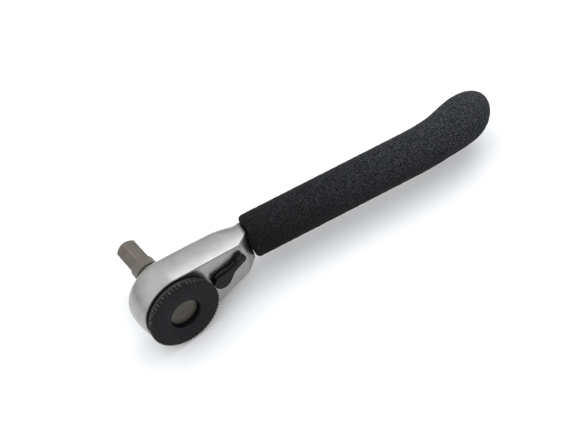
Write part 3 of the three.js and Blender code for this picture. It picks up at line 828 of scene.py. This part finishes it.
def bit():
    """A hexagon shank in the socket, a thin neck, a collar whose side sweeps in to the key, and the
    hexagon key with its corners broken at the end."""
    corner = BIT["flats"] / 2 / math.cos(math.pi / 6)
    flare_start, flare_end = BIT_FLARE["start"], BIT_FLARE["end"]
    sweep = soft_line([(flare_start - 4, 4.35), (flare_start, BIT_FLARE["radius"]),
                       (flare_start + 1, 3.95), (flare_start + 2.4, 3.75),
                       (flare_end, BIT_FLARE["end_radius"]), (flare_end + 9, 3.69)], 0.8)

    def field(p):
        x, y, z = p[:, 0] - BIT_SHIFT, p[:, 1], p[:, 2]
        here = np.stack([x, y, z], 1)
        radius = np.hypot(x, z)
        flats = hexagon(here, BIT["flats"], SOCKET["phase"], 0.10)
        shank_part = meet(0.12, flats, BIT["start"] - y, y - BIT_NECK["start"] - 0.2)
        broken = (radius + y - corner + BIT["corner_break"] - BIT["tip"]) / math.sqrt(2)
        key = meet(0.15, meet(0.10, flats, slab(y, flare_start + 0.4, BIT["tip"])), broken)
        neck = meet(0.1, radius - BIT_NECK["radius"], slab(y, BIT_NECK["start"], flare_start + 0.6))
        limit, slope = sweep(y)
        collar = meet(0.12, (radius - limit) / np.sqrt(1 + slope ** 2), flare_start - y)
        runout = (radius - BIT_RUNOUT["radius"] + (y - flare_end) * BIT_RUNOUT["slope"]) / 2.15
        collar = meet(0.22, collar, runout)
        return unite(0.06, key, unite(0.1, shank_part, unite(0.12, neck, collar)))

    piece = solid_of("key_bit", field, (-4.8, 5.1, -4.7), (4.7, 33.7, 4.7), 0.13)
    return finish_piece(piece, "bit", "bit_steel", "hex_bit")


def screw_radius(y, room=0.0):
    """Radius of a countersunk screw at a level, from its shank to its head."""
    cone = SCREW["shank"] + (y - COVER["front"] - SCREW["cone_start"]) * SCREW["cone_slope"]
    return np.clip(cone, SCREW["shank"], SCREW["head"]) + room


def cover():
    """The pear-shaped back plate with its hole for the axle and its countersinks."""
    def field(p):
        x, y, z = p.T
        outline = pear(x, z, COVER["radius"], COVER["end"], COVER["taper"])
        plate = meet(0.25, outline, slab(y, COVER["front"], COVER["back"]))
        hollows = [drum(p, AXLE["rear"] + RUN, 0, 20)]
        for sx, sz in screw_places():
            hollows.append((np.hypot(x - sx, z - sz) - screw_radius(y, RUN)) * 0.85)
        return carve(0.12, plate, *hollows)

    piece = solid_of("cover_plate", field, (-9.8, 12.1, -9.8), (21.4, 14.3, 9.8), 0.17)
    return finish_piece(piece, "handle", "satin_chrome", "back_cover")


def screws():
    """Countersunk screws with a cross slot, just below the cover's face."""
    start, face = COVER["back"] - SCREW["length"], COVER["back"] - SCREW["depth"]
    half, wide = SCREW["slot"] / 2, SCREW["slot_width"] / 2
    for i, (sx, sz) in enumerate(screw_places()):
        def field(p, sx=sx, sz=sz):
            x, y, z = p[:, 0] - sx, p[:, 1], p[:, 2] - sz
            blank = meet(0.06, (np.hypot(x, z) - screw_radius(y)) * 0.85, slab(y, start, face))
            cross = np.minimum(meet(0.03, np.abs(x) - half, np.abs(z) - wide),
                               meet(0.03, np.abs(x) - wide, np.abs(z) - half))
            return carve(0.04, blank, np.maximum(cross, face - SCREW["slot_depth"] - y))

        low = (sx - 1.3, start - 0.2, sz - 1.3)
        high = (sx + 1.3, COVER["back"] + 0.2, sz + 1.3)
        piece = solid_of(f"machine_screw_{i + 1}", field, low, high, 0.07)
        finish_piece(piece, "handle", "spring_steel", f"cover_screw_{i + 1}")


def lever_plate(x, y, z, edge_line):
    """A round end over the pivot and a short arm. A raised body covers all but the arm's upper edge,
    where a narrow ledge with a raised lip and a rounded thumb pad at the tip are left."""
    along = np.clip(x / LEVER["length"], 0, 1) * LEVER["length"]
    aside = np.hypot(x - along, z - LEVER_ARM["sideways"] * along / LEVER["length"])
    arm = aside - np.interp(x, LEVER_ARM["swell"], (LEVER_ARM["radius"], LEVER_ARM["tip_radius"]))
    plan = unite(LEVER_ARM["fillet"], np.hypot(x, z) - LEVER["big"], arm)
    bottom = y - LEVER["bottom"] + np.interp(x, LEVER_ARM["lift_from"], (0, LEVER_ARM["lift"]))
    low = meet(0.1, meet(0.22, plan, LEDGE - y), bottom)
    limit, slope = edge_line(x)
    upper = (z - limit - 0.12 * (y - LEVER["top"])) / np.sqrt(1 + slope ** 2)
    high = meet(0.08, meet(0.2, plan, LEVER["top"] - y), upper, y - LEDGE - 0.3, bottom)
    groove = np.hypot(z - limit - 0.12, y - LEDGE + 0.02) - 0.16
    from_pad = [(at - LEVER_PAD[axis]) / LEVER_PAD["half_" + axis] for axis, at in zip("xyz", (x, y, z))]
    pad = meet(0.1, (np.linalg.norm(from_pad, axis=0) - 1) * 0.85, bottom)
    pad_line = np.hypot(z - limit - 0.06, y - LEVER["top"] - 0.08) - 0.17
    plate = unite(0.25, carve(0.06, unite(0.04, low, high), groove), pad)
    return carve(0.05, plate, np.maximum(pad_line, LEVER_PAD["x"] - 1 - x))


def lever():
    """The plate and its hollow shaft, with the clip's groove and the plunger's bore."""
    turn = math.radians(LEVER["angle"])
    edge_line = soft_line([(-3, 3.4), (-0.4, 2.5), (1.65, 1.5), (4.4, 1.0), (5.9, 0.6), (9.5, 0.42)], 1.0)

    def field(p):
        px, y, pz = p[:, 0] - LEVER["pivot_x"], p[:, 1], p[:, 2]
        x = px * math.cos(turn) + pz * math.sin(turn)
        z = -px * math.sin(turn) + pz * math.cos(turn)
        in_groove = (y > LEVER_SHAFT["groove_front"]) & (y < LEVER_SHAFT["groove_back"])
        limit = np.where(in_groove, LEVER_SHAFT["groove"], LEVER_SHAFT["radius"])
        shaft = meet(0.1, np.hypot(px, pz) - limit, slab(y, LEVER["bottom"] - 0.3, LEVER_SHAFT["end"]))
        bore = np.maximum(np.hypot(y - PLUNGER["level"], z) - PLUNGER["radius"] - 0.2, x - 1.4)
        return carve(0.08, unite(0.15, lever_plate(x, y, z, edge_line), shaft), bore)

    piece = solid_of("lever_and_shaft", field, (10.9, 1.0, -3.3), (24.8, 12.2, 6.0), 0.10)
    return finish_piece(piece, "lever", "lever_steel", "reversing_lever")


def lever_ring():
    inner = LEVER_SHAFT["radius"] + 0.1
    corners = [(inner, LEVER_SEAL["front"]), (LEVER_SEAL["outer"], LEVER_SEAL["front"]),
               (LEVER_SEAL["outer"], LEVER_SEAL["back"]), (inner, LEVER_SEAL["back"])]
    piece = lathe("lever_ring_seal", rounded(corners, 0.15), 72, centre=(LEVER["pivot_x"], 0))
    return finish_piece(weighted(piece), "handle", "black_rubber", "lever_seal")


def carried_over():
    """Inner pieces keep their CAD shape and take their finish."""
    slots = {row["node"]: row["material_slot"] for row in frame["record"]["subparts"]}
    for name in ("bit_magnet", "thrust_washer", "pawl_pin", "pawl", "lever_clip", "pawl_plunger",
                 "pawl_spring"):
        node = NODES[name]
        node.data.materials.clear()
        node.data.materials.append(MATERIALS[slots[name]])


# ---------------------------------------------------------------- floor, light and camera

def stage():
    size, level = FLOOR["size"], FLOOR["level"]
    mesh = bpy.data.meshes.new("floor")
    corners = [(-size, -size, level), (size, -size, level), (size, size, level), (-size, size, level)]
    mesh.from_pydata(corners, [], [(0, 1, 2, 3)])
    floor = bpy.data.objects.new("floor", mesh)
    bpy.context.scene.collection.objects.link(floor)
    floor.data.materials.append(floor_white())


def glow(tree, direction, aim, sharpness, strength):
    """A soft round patch of brightness in the studio's dome, about a direction."""
    towards = vector_math(tree, "DOT_PRODUCT", direction, Vector(aim).normalized())
    fall = joined(tree, "POWER", joined(tree, "MAXIMUM", towards, 0.0), sharpness)
    return times(tree, fall, strength)


def lights():
    """A soft studio dome: dim at the horizon, bright overhead, with three soft patches."""
    world = bpy.data.worlds.new("studio")
    bpy.context.scene.world = world
    world.use_nodes = True
    tree = world.node_tree
    direction = tree.nodes.new("ShaderNodeTexCoord").outputs["Generated"]
    height = vector_math(tree, "DOT_PRODUCT", direction, (0, 0, 1))
    dome = spread(tree, height, HORIZON, ZENITH, 0.0, ZENITH_HEIGHT)
    total = joined(tree, "ADD", dome, *(glow(tree, direction, *row) for row in GLOWS))
    background = tree.nodes["Background"]
    background.inputs["Color"].default_value = (*STUDIO_TINT, 1)
    tree.links.new(total, background.inputs["Strength"])


def camera():
    right, up = Vector(CAMERA["right"]).normalized(), Vector(CAMERA["up"]).normalized()
    back = right.cross(up)
    turned = Matrix((right, up, back)).transposed()
    data = bpy.data.cameras.new("camera")
    data.lens, data.sensor_width = CAMERA["lens"], CAMERA["sensor"]
    data.clip_start, data.clip_end = 0.01, 20
    view = bpy.data.objects.new("camera", data)
    bpy.context.scene.collection.objects.link(view)
    view.matrix_world = Matrix.Translation(ORIGIN + Vector(CAMERA["place"]) * MM) @ turned.to_4x4()
    bpy.context.scene.camera = view
    bpy.context.scene.view_settings.view_transform = "Standard"


camera()
head()
shank()
foam_grip()
wheel()
wheel_seal()
gear()
bit()
cover()
screws()
lever()
lever_ring()
carried_over()
stage()
lights()
